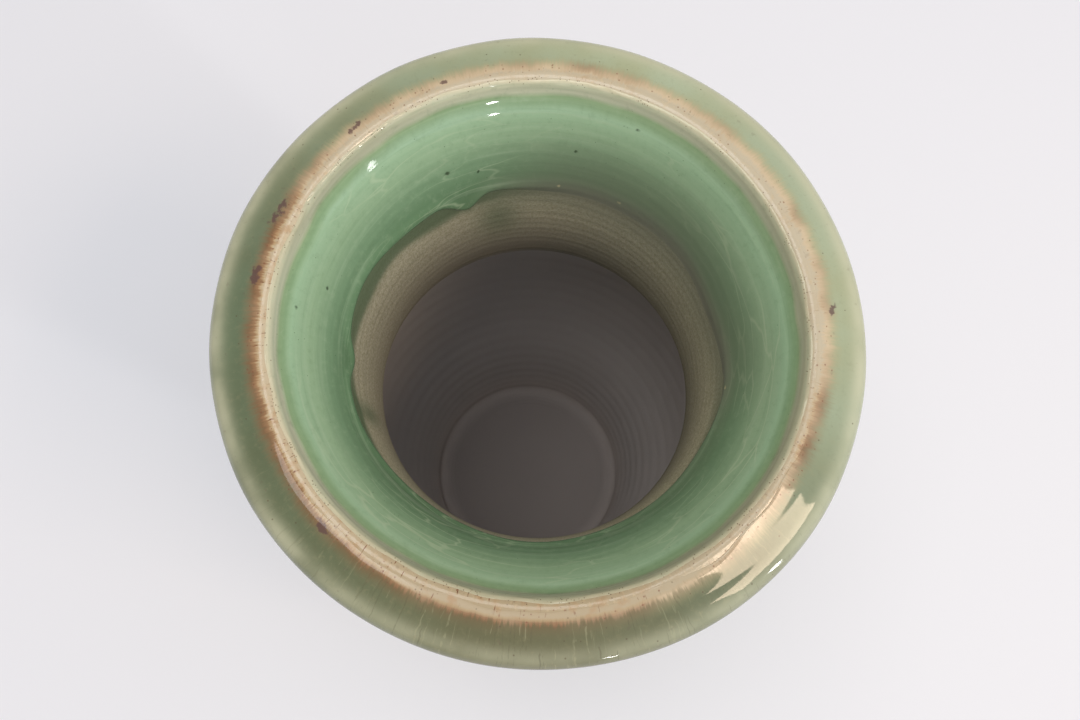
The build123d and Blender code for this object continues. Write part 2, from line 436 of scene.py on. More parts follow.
def ripple(seed, first, last, size):
    """A wavy line round the vase, from a seeded sum of waves."""
    random = np.random.default_rng(seed)
    total = np.zeros(SEGMENTS)
    for count in range(first, last + 1):
        total += np.cos(count * BEARING + random.uniform(0, math.tau)) * random.uniform(LEAST_WAVE, 1)
    return total * size / np.sqrt(np.mean(total**2))


def waves_round(waves):
    """A sum of waves round the vase."""
    return sum(share * np.cos(count * BEARING + phase) for count, phase, share in waves)


def spots(places, lengths, radius):
    """Soft spots on the wall, wide round it and long along it, none of them above one."""
    total = np.zeros(lengths.shape)
    for bearing, length, wide, long in places:
        across = turn_apart(bearing) * radius / (wide * MM)
        along = (lengths - AT_CREST - length * MM) / (long * MM)
        total += np.exp(-(across**2) - along**2)
    return np.clip(total, 0, 1)


def iron_round():
    """How much iron shows round the lip, most from the near side to the left, least on the far side."""
    falloff = (np.abs(turn_apart(IRON_SIDE)) / IRON_HALF_WIDTH) ** IRON_POWER
    broad = np.clip(IRON_PEAK - falloff, IRON_LEAST, 1)
    share = np.maximum(broad, bump(*IRON_STREAK)) - bump(*IRON_GAP) + ripple(*IRON_BREAKS)
    return np.clip(share, 0, 1)


def thick_and_shaded_round():
    """How thick the outer coat lies, most on the left, where it also carries painted shade."""
    broad = THICK_MEAN + THICK_SWING * np.cos(turn_apart(THICK_AND_SHADED_SIDE))
    return np.clip(broad + bumps(THICK_PATCHES), 0, 1)


# How far the mouth's coat fades into the clay, and the wavy lines where it and its stain end
faded = falling(np.abs(turn_apart(FADED_SIDE)) - FADED_HALF_WIDTH, FADED_SOFTNESS)
drip_edge = AT_DRIPS - DRIP_RISE + ripple(*DRIP_EDGE_WAVES) + bumps(DRIP_LOBES)
olive_edge = AT_CREST + OLIVE_DEPTH + bump(*OLIVE_LOBE) + ripple(*OLIVE_EDGE_WAVES)


def throwing_rings(lengths):
    """Shallow spiral ridges that the fingers leave inside."""
    turns = BEARING / math.tau
    first = np.sin(math.tau * (lengths / RING_PITCH + turns))
    second = np.sin(math.tau * (lengths / SECOND_RING_PITCH + turns + SECOND_RING_PHASE))
    body = np.sin(math.tau * (lengths / BODY_RING_PITCH + turns))
    in_mouth = rise(lengths - AT_POOL, RINGS_BELOW_POOL) * rise(AT_NECK_IN - lengths, RINGS_ABOVE_SEAM)
    in_body = rise(lengths - AT_THROAT, RINGS_BELOW_THROAT)
    return (first + SECOND_RING_SHARE * second) * in_mouth * RING_DEPTH + body * in_body * BODY_RING_DEPTH


def out_of_round(radius, height):
    """The slight oval and lean of a vase that was thrown by hand."""
    share = np.clip(height / HEIGHT, 0, 1)
    lean = waves_round(LEAN_WAVES)
    sunk = lean - lean.max()
    return radius + WOBBLE * waves_round(OVAL_WAVES) * share, height + WOBBLE * sunk * share**LEAN_POWER


def lathe(name, radius, height, values, closed=True):
    """A mesh from rows of radius and height, each with one entry for every segment."""
    radius, height = out_of_round(radius, height)
    rows = radius.shape[0]
    points = np.stack((radius * np.cos(BEARING), radius * np.sin(BEARING), height), axis=2).reshape(-1, 3)
    row = np.arange(rows if closed else rows - 1)[:, None] * SEGMENTS
    column = np.arange(SEGMENTS)[None, :]
    beside = (column + 1) % SEGMENTS
    above = (row + SEGMENTS) % (rows * SEGMENTS)
    quads = np.stack((row + column, row + beside, above + beside, above + column), axis=2).reshape(-1, 4)
    faces = quads.tolist()
    if not closed:
        first_ring = list(range(SEGMENTS))
        last_ring = list(range((rows - 1) * SEGMENTS, rows * SEGMENTS))
        faces += [first_ring[::-1], last_ring]
    mesh = bpy.data.meshes.new(name)
    mesh.from_pydata(points.tolist(), [], faces)
    for label, value in values.items():
        kind, field = ("FLOAT_VECTOR", "vector") if value.ndim == 3 else ("FLOAT", "value")
        layer = mesh.attributes.new(label, kind, "POINT")
        layer.data.foreach_set(field, value.astype(np.float32).ravel())
    mesh.shade_smooth()
    mesh.update()
    piece = bpy.data.objects.new(name, mesh)
    bpy.context.scene.collection.objects.link(piece)
    return piece


def skin(lengths):
    """Coordinates that lie in the surface: the bearing on a unit circle, and metres from the crest."""
    circle = np.broadcast_to(np.stack((np.cos(BEARING), np.sin(BEARING)), axis=1), lengths.shape + (2,))
    return np.concatenate((circle, (lengths - AT_CREST)[..., None]), axis=2)


def all_along(values, lengths):
    """Values round the vase, the same at every length."""
    return np.broadcast_to(values, lengths.shape)


def lip_values(lengths):
    """What the colour of the lip depends on, on the clay and on the coat over it."""
    return {
        "iron": all_along(iron_round(), lengths),
        "near": all_along(bump(*NEAR_SIDE), lengths),
        "cream": all_along(bumps(CREAM_REACH), lengths),
        "blotch": spots(IRON_BLOTCHES, lengths, CREST_RADIUS),
    }


def outer_values(lengths):
    """What the outer coat's colour depends on."""
    return lip_values(lengths) | {
        "lip": rise(lengths - AT_FLARE, LIP_RUN),
        # thick glaze, and painted shade on the left side
        "thick": all_along(thick_and_shaded_round(), lengths),
        # painted reflection of the floor, just inside the lip's outer edge
        "edge": ridge(lengths - AT_LIP_EDGE, *PAINTED_EDGE_REFLECTION),
    }


def mouth_values(lengths):
    """What the colour of the mouth's coat depends on."""
    return {
        "fade": all_along(np.maximum(faded, bump(*NEAR_FADE)), lengths),
        # painted shade on the bevel, by bearing
        "painted_shade": all_along(np.clip(bumps(BEVEL_SHADE_ROUND), 0, 1), lengths),
        "specks": spots(DARK_SPECKS, lengths, CREST_RADIUS),
        "spots": spots(PALE_SPOTS, lengths, CREST_RADIUS),
    }


def clay_values(lengths):
    """What the clay's colour depends on: where it is, and the thin glaze that ran over it."""
    inside = lengths > AT_CREST
    lower = np.maximum(olive_edge, drip_edge + blend(STAIN_REACH, faded))
    stain = falling(lengths - lower, blend(STAIN_SOFTNESS, faded))
    below = np.where(lengths > drip_edge - STAIN_START, stain, 0)
    smears = SMEAR_SHARE * spots(NECK_SMEARS, lengths, THROAT[0])
    return lip_values(lengths) | {
        "skin": skin(lengths),
        "stain": np.clip(below + smears, 0, 1),
        # Painted shade: the neck darkens over its last stretch down to the throat, less at some bearings
        "painted_throat_shade": rise(lengths - AT_THROAT + SHADE_RUN, SHADE_RUN) * inside * (1 - bumps(LESS_THROAT_SHADE)),
        "deep": rise(lengths - AT_THROAT - DEEP_START, DEEP_RUN) * inside,
        "fade": faded * inside,
    }


def eased(lengths, places, depths):
    """Depths between given places, with the corners of the line softened."""
    steps = np.linspace(-EASE_REACH, EASE_REACH, EASE_STEPS)
    weights = np.hanning(EASE_STEPS + 2)[1:-1]
    total = sum(weight * np.interp(lengths + step, places, depths) for step, weight in zip(steps, weights))
    return total / weights.sum()


def outer_thickness(lengths, from_foot, from_crest):
    """Rolled above the foot, even on the body, hollowed on top of the lip and thin at the crest."""
    distances, depths = OUTER_DEPTHS.T
    even = eased(lengths, AT_CREST_OUTSIDE - distances, depths)
    waves = ripple(*OUTER_COAT_WAVES) * rise(from_crest, OUTER_COAT_WAVES_RUN)
    crisp_share = bump(*CRISP_STRETCH)
    at_crest = round_edge(from_crest, blend(CREST_SWELLS, crisp_share)) ** blend(CREST_POWERS, crisp_share)
    at_foot = round_edge(from_foot, FOOT_SWELL)
    return (even + ridge(from_foot, *FOOT_ROLL) + waves) * at_foot * at_crest


def mouth_thickness(lengths, from_crest, from_drips):
    """Thin on the bevel, thick in the pool, and with a rounded edge at the drips."""
    distances, depths = MOUTH_DEPTHS.T
    even = eased(lengths, AT_BEVEL_END + distances, depths)
    roll = ridge(from_drips, *DRIP_ROLL) * (1 - faded)
    bead = ridge(from_crest, *CREST_BEAD) * (1 + ripple(*BEADING))
    body = even + roll + bead + GLAZED_RING_SHARE * throwing_rings(lengths)
    at_drips = round_edge(from_drips, blend(DRIP_SWELLS, faded)) ** blend(DRIP_POWERS, faded)
    return body * round_edge(from_crest, BEVEL_SWELL) * at_drips


def edge_rows(first, last, step):
    """Lengths along a coat, closer together at its two edges."""
    middle = evenly(first + EDGE_RUN, last - EDGE_RUN, step)
    return np.concatenate((first + EDGE_OFFSETS, middle, (last - EDGE_OFFSETS)[::-1]))


def coat(name, rows, start, end, thickness, values):
    """A coat of glaze on the wall between two wavy edges. Its thickness is a function of place."""
    share = ((rows - rows[0]) / (rows[-1] - rows[0]))[:, None]
    air_side = start + (end - start) * share
    lift = thickness(air_side, air_side - start, end - air_side)
    clay_count = max(4, int((rows[-1] - rows[0]) / HIDDEN_STEP))
    clay_share = np.linspace(0, 1, clay_count)[::-1][1:-1, None]
    clay_side = start + (end - start) * clay_share
    lengths = np.concatenate((air_side, clay_side))
    sink = np.full_like(clay_side, -GLAZE_SINK)
    radius, height = wall.at(lengths, np.concatenate((lift, sink)))
    layers = {"skin": skin(lengths), "from_start": lengths - start, "from_end": end - lengths}
    return lathe(name, radius, height, layers | values(lengths))


def make_outer_glaze():
    body = edge_rows(AT_WAIST, AT_FLARE, BODY_STEP)[: -len(EDGE_OFFSETS)]
    lip = edge_rows(AT_FLARE, AT_CREST_OUTSIDE, LIP_STEP)[len(EDGE_OFFSETS) :]
    rows = np.concatenate((body, lip))
    start = AT_WAIST + ripple(*FOOT_EDGE_WAVES) + bumps(FOOT_LOBES)
    end = AT_CREST_OUTSIDE + ripple(*CREST_EDGE_WAVES)
    return coat("outer_glaze_coat", rows, start, end, outer_thickness, outer_values)


def make_mouth_glaze():
    top = AT_CREST_INSIDE - BEVEL_RISE
    rows = edge_rows(top, AT_DRIPS, LIP_STEP)
    start = top + ripple(*BEVEL_EDGE_WAVES)
    return coat("mouth_glaze_coat", rows, start, drip_edge, mouth_thickness, mouth_values)


def crisp(lengths):
    """Lengths with one more row close to each end, so that a corner there stays sharp."""
    first, last = lengths[:1], lengths[-1:]
    return np.concatenate((first, first + CORNER, lengths[1:-1], last - CORNER, last))


def clay_ring(name, outside, inside):
    """A section of the wall, from its seam up the outside and down the inside."""
    lengths = np.concatenate((crisp(outside), crisp(inside)))[:, None] + np.zeros(SEGMENTS)
    radius, height = wall.at(lengths, throwing_rings(lengths))
    return lathe(name, radius, height, clay_values(lengths))


def make_rolled_lip():
    under = evenly(AT_LIP_OUT, AT_CREST_OUTSIDE, UNDER_LIP_STEP)[:-1]
    crest = evenly(AT_CREST_OUTSIDE, AT_CREST_INSIDE, CREST_STEP)
    mouth = evenly(AT_CREST_INSIDE, AT_LIP_IN, MOUTH_STEP)[1:]
    return clay_ring("rolled_lip_clay", np.concatenate((under, crest)), mouth)


def make_neck():
    outside = evenly(AT_NECK_OUT, AT_LIP_OUT, HIDDEN_STEP)
    mouth = evenly(AT_LIP_IN, AT_DRIPS - FINE_ABOVE_DRIPS, NECK_STEP)[:-1]
    band = evenly(AT_DRIPS - FINE_ABOVE_DRIPS, AT_THROAT, LIP_STEP)[:-1]
    root = evenly(AT_THROAT, AT_NECK_IN, MOUTH_STEP)
    return clay_ring("neck_clay", outside, np.concatenate((mouth, band, root)))


def make_shoulder():
    outside = evenly(AT_BELLY_OUT, AT_NECK_OUT, HIDDEN_STEP)
    inside = evenly(AT_NECK_IN, AT_BELLY_IN, BODY_STEP)
    return clay_ring("shoulder_clay", outside, inside)


def make_lower_body():
    bare = evenly(AT_FOOT_TOP, AT_WAIST + FINE_ABOVE_WAIST, FOOT_STEP)
    covered = evenly(AT_WAIST + FINE_ABOVE_WAIST, AT_BELLY_OUT, HIDDEN_STEP)[1:]
    inside = evenly(AT_BELLY_IN, wall.end, BODY_STEP)
    return clay_ring("lower_body_clay", np.concatenate((bare, covered)), inside)


def outline_ring(name, corners, step, closed):
    """A turned ring or disc from the corners of its section."""
    rows = []
    ends = corners[1:] + corners[:1] if closed else corners[1:]
    for start, end in zip(np.array(corners), np.array(ends)):
        size = math.dist(start, end)
        shares = crisp(evenly(0, size, step))[:-1, None] / size
        rows.append(start + (end - start) * shares)
    if not closed:
        rows.append(np.array(corners[-1:]))
    section = np.concatenate(rows)
    radius = section[:, :1] + np.zeros(SEGMENTS)
    height = section[:, 1:] + np.zeros(SEGMENTS)
    above_floor = (height > FOOT_HEIGHT) & (radius < WAIST[0] - WALL)
    lengths = np.where(above_floor, wall.end + WAIST[0] - WALL - radius, -radius - height)
    return lathe(name, radius, height, clay_values(lengths), closed)


def make_foot_ring():
    top = wall.at(AT_FOOT_TOP)[0]
    corners = [
        (FOOT_RADIUS - FOOT_CHAMFER, 0.0),
        (FOOT_RADIUS, FOOT_CHAMFER),
        (top, FOOT_HEIGHT),
        (FOOT_BORE_RADIUS, FOOT_HEIGHT),
        (FOOT_BORE_RADIUS, FOOT_CHAMFER),
        (FOOT_BORE_RADIUS + FOOT_CHAMFER, 0.0),
    ]
    return outline_ring("foot_ring_clay", corners, FOOT_STEP, True)


def make_base_disc():
    """The inner floor, with a cove of slip in its corner."""
    edge = WAIST[0] - WALL
    top = FOOT_HEIGHT + FLOOR_THICKNESS
    turns = np.linspace(0, -math.pi / 2, COVE_STEPS)
    cove = [(edge - COVE + COVE * math.cos(turn), top + COVE + COVE * math.sin(turn)) for turn in turns]
    corners = [(MIDDLE_RADIUS, FOOT_HEIGHT), (edge, FOOT_HEIGHT), *cove, (MIDDLE_RADIUS, top)]
    return outline_ring("base_disc_clay", corners, DISC_STEP, False)


def colour(red, green, blue, strength=1.0):
    """A colour written as it looks on screen, from 0 to 255, for a shader."""
    linear = Color((red / 255, green / 255, blue / 255)).from_srgb_to_scene_linear()
    return (*(linear * strength), 1.0)


class Nodes:
    """A tree of shader nodes, with short ways to add to it."""

    def __init__(self, tree):
        self.tree = tree

    def feed(self, socket, value):
        """Sets a socket to a value, or links another node's socket to it."""
        if isinstance(value, bpy.types.NodeSocket):
            self.tree.links.new(value, socket)
        else:
            socket.default_value = value

    def add(self, kind, inputs, **settings):
        """A node with its settings, and with values or other nodes' sockets on its inputs."""
        node = self.tree.nodes.new(kind)
        for label, setting in settings.items():
            setattr(node, label, setting)
        for label, value in inputs.items():
            self.feed(node.inputs[label], value)
        return node

    def maths(self, operation, first, second, clamp=False):
        inputs = {0: first, 1: second}
        return self.add("ShaderNodeMath", inputs, operation=operation, use_clamp=clamp).outputs[0]

    def times(self, first, second):
        return self.maths("MULTIPLY", first, second)

    def plus(self, first, second):
        return self.maths("ADD", first, second)

    def less(self, first, second):
        return self.maths("SUBTRACT", first, second)

    def between(self, value, low, high, lowest=0.0, highest=1.0):
        """A smooth step from one value to another."""
        inputs = {"Value": value, "From Min": low, "From Max": high, "To Min": lowest, "To Max": highest}
        return self.add("ShaderNodeMapRange", inputs, interpolation_type="SMOOTHSTEP").outputs["Result"]

    def mix(self, share, first, second):
        """A share of the second colour over the first."""
        return self.add("ShaderNodeMix", {0: share, 6: first, 7: second}, data_type="RGBA").outputs[2]

    def ramp(self, value, stops):
        """Colours along a length, given as stops from zero to the longest."""
        longest = stops[-1][0]
        node = self.add("ShaderNodeValToRGB", {0: self.maths("DIVIDE", value, longest, clamp=True)})
        band = node.color_ramp
        while len(band.elements) < len(stops):
            band.elements.new(1.0)
        for element, (place, tone) in zip(band.elements, stops):
            element.position = place / longest
            element.color = tone
        return node.outputs["Color"]


class Paint(Nodes):
    """A material whose patterns lie in the surface of a turned piece."""

    DOT_CORE = 0.5

    def __init__(self, name, roughness, specular=0.5):
        self.material = bpy.data.materials.new(name)
        self.material.use_nodes = True
        super().__init__(self.material.node_tree)
        self.shader = self.tree.nodes["Principled BSDF"]
        self.shader.inputs["Roughness"].default_value = roughness
        self.shader.inputs["Specular IOR Level"].default_value = specular

    def link(self, label, value):
        self.feed(self.shader.inputs[label], value)

    def layer(self, label):
        """A value that the mesh carries at each point."""
        return self.add("ShaderNodeAttribute", {}, attribute_name=label).outputs["Fac"]

    def skin(self, around=1.0, along=1.0, shift=0.0):
        """Surface coordinates, with so many units round a radian and along a metre."""
        place = self.add("ShaderNodeAttribute", {}, attribute_name="skin").outputs["Vector"]
        inputs = {0: place, 1: (around, around, along), 2: (shift, shift, shift)}
        return self.add("ShaderNodeVectorMath", inputs, operation="MULTIPLY_ADD").outputs["Vector"]

    def from_crest(self):
        """Metres from the crest along the wall, inward."""
        return self.add("ShaderNodeSeparateXYZ", {0: self.skin()}).outputs["Z"]

    def noise(self, place, detail=3.0, roughness=0.5, scale=1.0):
        inputs = {"Vector": place, "Scale": scale, "Detail": detail, "Roughness": roughness}
        return self.add("ShaderNodeTexNoise", inputs)

    def grain(self, around, along, shift=0.0, detail=3.0, roughness=0.5):
        """A noise in the surface, from nothing to one."""
        return self.noise(self.skin(around, along, shift), detail, roughness).outputs["Fac"]

    def clouds(self, grain, step):
        """A noise in the surface, taken through a smooth step."""
        return self.between(self.grain(*grain), *step)

    def warped(self, place, by, scale, amount):
        """Coordinates pushed about by a noise that follows other coordinates."""
        cloud = self.noise(by, detail=2.0, scale=scale).outputs["Color"]
        inputs = {0: cloud, 1: amount, 2: place}
        return self.add("ShaderNodeVectorMath", inputs, operation="MULTIPLY_ADD").outputs["Vector"]

    def crackle(self, cells, scale, amount, width):
        """Thin lines along the borders of warped random cells, one on the line and nothing beside it."""
        place = self.skin(*cells)
        inputs = {"Vector": self.warped(place, place, scale, amount), "Scale": 1.0}
        distance = self.add("ShaderNodeTexVoronoi", inputs, feature="DISTANCE_TO_EDGE").outputs["Distance"]
        return self.between(distance, width, 0.0)

    def dots(self, cells, size, share):
        """Small round dots in a share of the random cells."""
        found = self.add("ShaderNodeTexVoronoi", {"Vector": self.skin(*cells), "Scale": 1.0})
        near = self.between(found.outputs["Distance"], size, size * self.DOT_CORE)
        pick = self.add("ShaderNodeSeparateColor", {0: found.outputs["Color"]}).outputs[0]
        return self.times(near, self.maths("LESS_THAN", pick, share))

    def relief(self, height, distance, strength):
        inputs = {"Height": height, "Distance": distance, "Strength": strength}
        self.link("Normal", self.add("ShaderNodeBump", inputs).outputs["Normal"])


# How the values of the materials are written.
# Grains and cells: units round a radian, units along a metre, shift, and a grain's detail and roughness.
# Steps: where they start and end, and the values there if these are not nothing and one.
# Clouds: grain and step. Patches: steps of a grain, and the colours that they bring.
# Dots: cells, size, strength, colour, and the share of the cells that hold one.
# Bands of dots: where they start and end across the crest, the clouds of their share, and the dots.

# Lip: grains that move the edge of the cream, and how far on the far side and on the near side
LIP_WANDERS = (((150, 260, 3), (0.6 * MM, 0.15 * MM)), ((16, 160, 8), (0.6 * MM, 0.2 * MM)))
WANDER_STEP = (0.3, 0.7)
CREAM_EDGE = 0.5 * MM
IRON_STOPS = (
    (0.0, colour(194, 178, 148)),
    (0.3 * MM, colour(192, 168, 130)),
    (0.8 * MM, colour(150, 116, 82)),
    (1.6 * MM, colour(126, 96, 66)),
    (3.2 * MM, colour(124, 110, 80)),
)
CREAM_STOPS = (
    (0.0, colour(194, 183, 157)),
    (0.8 * MM, colour(204, 186, 154)),
    (1.6 * MM, colour(194, 178, 144)),
    (3.2 * MM, colour(172, 168, 128)),
)
# Painted shade over the cream on the near side
NEAR_CREAM_SHADE_STEP = (0.9 * MM, 0.3 * MM, 0.0, 0.5)
NEAR_CREAM_SHADE = colour(148, 129, 92)

# Lip: blotches of iron, smears and ticks, then bands of freckles and of pinholes across the crest
BLOTCH_RAGS = ((45, 900, 5), (0.25, 0.75, -0.45, 0.45))
BLOTCH_STEP = (0.35, 0.7, 0.0, 0.8)
BLOTCH_TONE = colour(92, 66, 64)
WEAR = (
    ((24, 420, 6), (((0.5, 0.7, 0.0, 0.55), colour(172, 134, 92)),)),
    ((120, 420, 17, 2), (((0.64, 0.72), colour(128, 88, 58)),)),
)
FRECKLES = (
    (-3.4 * MM, -1.4 * MM),
    (0.6 * MM, -0.6 * MM),
    ((12, 60, 14, 2), (0.42, 0.62, 0.02, 0.3)),
    ((80, 1700, 12), 0.36, 0.6, colour(122, 74, 52)),
)
PINHOLES = (
    (0.1 * MM, 1 * MM),
    (2.4 * MM, 1.4 * MM),
    ((9, 60, 4, 2), (0.4, 0.6, 0.12, 0.75)),
    ((110, 2300, 9), 0.34, 0.75, colour(96, 72, 50)),
)


def patched(paint, tone, grain, patches, strength=1.0):
    """A tone with patches of other colours where a grain is high or low."""
    for step, tint in patches:
        tone = paint.mix(paint.times(paint.between(grain, *step), strength), tone, tint)
    return tone


def dotted(paint, tone, cells, size, strength, tint, share):
    """A tone with small dots in a share of their cells."""
    return paint.mix(paint.times(paint.dots(cells, size, share), strength), tone, tint)


def dotted_band(paint, tone, start, end, clusters, dots):
    """A tone with clusters of dots between two places on the lip."""
    place = paint.from_crest()
    inside = paint.times(paint.between(place, *start), paint.between(place, *end))
    return dotted(paint, tone, *dots, paint.times(inside, paint.clouds(*clusters)))


def lip_tone(paint):
    """Cream over the crest with painted shade on its near side, then the brown line of the iron, and metres
    out from the edge of the cream.
    """
    near = paint.layer("near")
    edge = paint.plus(paint.layer("cream"), CREAM_EDGE)
    for grain, depths in LIP_WANDERS:
        swing = paint.clouds(grain, WANDER_STEP)
        edge = paint.less(edge, paint.times(swing, paint.between(near, 0.0, 1.0, *depths)))
    outside = paint.less(0.0, paint.plus(edge, paint.from_crest()))
    tone = paint.mix(paint.layer("iron"), paint.ramp(outside, CREAM_STOPS), paint.ramp(outside, IRON_STOPS))
    # Painted shade darkens the cream on the near side
    painted_shade = paint.times(near, paint.between(outside, *NEAR_CREAM_SHADE_STEP))
    return paint.mix(painted_shade, tone, NEAR_CREAM_SHADE), outside


def worn_cream(paint, tone, share):
    """Tan smears and brown ticks over a share of a tone, and pinholes."""
    stained = paint.times(share, paint.layer("iron"))
    for grain, patches in WEAR:
        tone = patched(paint, tone, paint.grain(*grain), patches, stained)
    return dotted_band(paint, tone, *PINHOLES)


def blotched(paint, tone):
    """Broken purple-brown blotches and freckles of iron over a tone."""
    ragged = paint.plus(paint.layer("blotch"), paint.clouds(*BLOTCH_RAGS))
    tone = paint.mix(paint.between(ragged, *BLOTCH_STEP), tone, BLOTCH_TONE)
    return dotted_band(paint, tone, *FRECKLES)


# Outer glaze: the olive of the body
GLOSS = 0.05
OLIVE_CLOUDS = ((2.5, 45), (0.35, 0.65))
# Dark olive for thick glaze and painted shade on the left, pale olive for thin glaze and painted light on
# the right
THICK_AND_SHADED_OLIVES = (colour(92, 104, 76), colour(100, 116, 88))
THIN_AND_LIT_OLIVES = (colour(172, 178, 142), colour(176, 188, 158))
OLIVE_MOTTLE = (48, 850, 0, 4, 0.65)
OLIVE_PATCHES = (
    ((0.5, 0.75, 0.0, 0.5), colour(156, 152, 116)),
    ((0.5, 0.25, 0.0, 0.42), colour(86, 88, 62)),
)
MOTTLE_BY_NEAR = (0.0, 1.0, 0.25, 1.0)

# Outer glaze: where it meets the cream, by metres out from there, and the combed olive of the near side
OLIVE_START = (4.2 * MM, 1.2 * MM)
WORN_END = (1.6 * MM, 0.4 * MM)
FRINGE_COMBS = ((110, 150, 23), (0.35, 0.65, 0.0, 1 * MM))
FRINGE_STEP = (0.1 * MM, 1.3 * MM, 0.0, 0.75)
NEAR_OLIVE = colour(101, 96, 63)
MATT_END = (1.8 * MM, 0.6 * MM)
MATT_BY_NEAR = (0.55, 0.95)
MATT_STEP = (0.0, 1.0, GLOSS, 0.35)

# Outer glaze: a painted reflection of the floor as a pale strip along the lip's outer edge, crackle on the
# body, hairlines on the near side, and specks
EDGE_REFLECTION_BREAKS = ((5, 120, 11), (0.25, 0.65, 0.35, 0.8))
EDGE_REFLECTION_BY_NEAR = (0.0, 1.0, 1.0, 0.5)
EDGE_REFLECTION_TONE = colour(196, 196, 166)
CRACKLE = ((6.5, 105, 7), 0.7, (0.6, 0.6, 0.6), 0.03)
CRACKLE_SHARE = 0.16
CRACKLE_TONES = (colour(126, 118, 86), colour(206, 206, 178))
HAIR_CELLS = (130, 45, 2)
HAIR_WAVER_CELLS = (20, 350, 4)
HAIR_WAVER = (1.0, (2.4, 2.4, 0.0))
HAIR_START = (0.8 * MM, 2 * MM)
HAIR_PATCHES = (
    ((0.62, 0.7, 0.0, 0.22), colour(186, 184, 146)),
    ((0.38, 0.3, 0.0, 0.4), colour(84, 80, 56)),
)
OUTER_SPECKS = ((60, 1100), 0.22, 0.55, colour(84, 66, 44), 0.05)
OUTER_WAVES = (5, 90, 0, 1)
OUTER_RELIEF = (0.25 * MM, 0.2)


def olive_tone(paint):
    """Clouded olive glaze, dark where it lies thick and with painted shade on the left, and mottled most on
    the near side.
    """
    clouds = paint.clouds(*OLIVE_CLOUDS)
    thin = paint.mix(clouds, *THIN_AND_LIT_OLIVES)
    thick = paint.mix(clouds, *THICK_AND_SHADED_OLIVES)
    tone = paint.mix(paint.layer("thick"), thin, thick)
    strength = paint.between(paint.layer("near"), *MOTTLE_BY_NEAR)
    return patched(paint, tone, paint.grain(*OLIVE_MOTTLE), OLIVE_PATCHES, strength)


def crackled(paint, tone):
    """Crackle on the body, pale where the glaze is thick and dark where it is thin."""
    body = paint.less(1.0, paint.layer("lip"))
    share = paint.times(paint.crackle(*CRACKLE), paint.times(body, CRACKLE_SHARE))
    return paint.mix(share, tone, paint.mix(paint.layer("thick"), *CRACKLE_TONES))


def haired(paint, tone, strength):
    """Wavering hairlines down the lip."""
    place = paint.warped(paint.skin(*HAIR_CELLS), paint.skin(*HAIR_WAVER_CELLS), *HAIR_WAVER)
    hairs = paint.noise(place, detail=2.0).outputs["Fac"]
    return patched(paint, tone, hairs, HAIR_PATCHES, strength)


def outer_glaze_paint():
    """Glossy olive celadon with crackle. It thins at the crest, where iron shows as a brown line."""
    paint = Paint("outer_glaze", GLOSS)
    lip, outside = lip_tone(paint)
    tone = paint.mix(paint.between(outside, *OLIVE_START), olive_tone(paint), lip)
    tone = worn_cream(paint, tone, paint.between(outside, *WORN_END))
    near_lip = paint.times(paint.layer("near"), paint.layer("lip"))
    fringe = paint.less(outside, paint.clouds(*FRINGE_COMBS))
    tone = paint.mix(paint.times(near_lip, paint.between(fringe, *FRINGE_STEP)), tone, NEAR_OLIVE)
    # Painted reflection of the floor: a pale, broken strip inside the lip's outer edge, weaker on the near
    # side
    edge = paint.times(paint.layer("edge"), paint.between(near_lip, *EDGE_REFLECTION_BY_NEAR))
    tone = paint.mix(paint.times(edge, paint.clouds(*EDGE_REFLECTION_BREAKS)), tone, EDGE_REFLECTION_TONE)
    tone = crackled(paint, tone)
    tone = haired(paint, tone, paint.times(near_lip, paint.between(outside, *HAIR_START)))
    paint.link("Base Color", blotched(paint, dotted(paint, tone, *OUTER_SPECKS)))
    near = paint.between(paint.layer("near"), *MATT_BY_NEAR)
    matt = paint.times(paint.between(outside, *MATT_END), near)
    paint.link("Roughness", paint.between(matt, *MATT_STEP))
    paint.relief(paint.grain(*OUTER_WAVES), *OUTER_RELIEF)
    return paint.material


# Mouth glaze: colours by depth from the upper edge, which sway, then painted shade on the bevel
SWAY = (3, 60, 0, 2)
SWAY_SIZE = 1.44 * MM
MOUTH_STOPS = (
    (0.0, colour(206, 196, 164)),
    (1 * MM, colour(208, 207, 178)),
    (2.8 * MM, colour(210, 212, 184)),
    (4 * MM, colour(146, 171, 130)),
    (5.2 * MM, colour(140, 168, 128)),
    (7 * MM, colour(158, 188, 153)),
    (12 * MM, colour(154, 182, 146)),
    (17.5 * MM, colour(128, 159, 124)),
    (23.5 * MM, colour(110, 143, 107)),
    (28.5 * MM, colour(102, 134, 98)),
)
BEVEL_SHADE_STEP = (4.5 * MM, 3 * MM, 0.0, 0.5)
BEVEL_SHADE_TONE = colour(146, 143, 114)

# Mouth glaze: bands of the throwing, mottle, and long arcs of crackle below the pool
MOUTH_GRAINS = (
    (
        (0.7, 650, 0, 3, 0.6),
        (((0.5, 0.8, 0.0, 0.35), colour(182, 202, 172)), ((0.5, 0.2, 0.0, 0.3), colour(108, 138, 104))),
    ),
    (
        (26, 560, 21, 5, 0.7),
        (((0.5, 0.75, 0.0, 0.22), colour(176, 196, 164)), ((0.5, 0.25, 0.0, 0.22), colour(104, 130, 98))),
    ),
)
ARCS = ((2.2, 260), 0.8, (1.2, 1.2, 1.2), 0.045)
ARC_PLACES = ((1.2, 40, 5), (0.42, 0.6))
ARC_DEPTH = (6 * MM, 9 * MM, 0.0, 0.45)
ARC_TONE = colour(190, 206, 172)

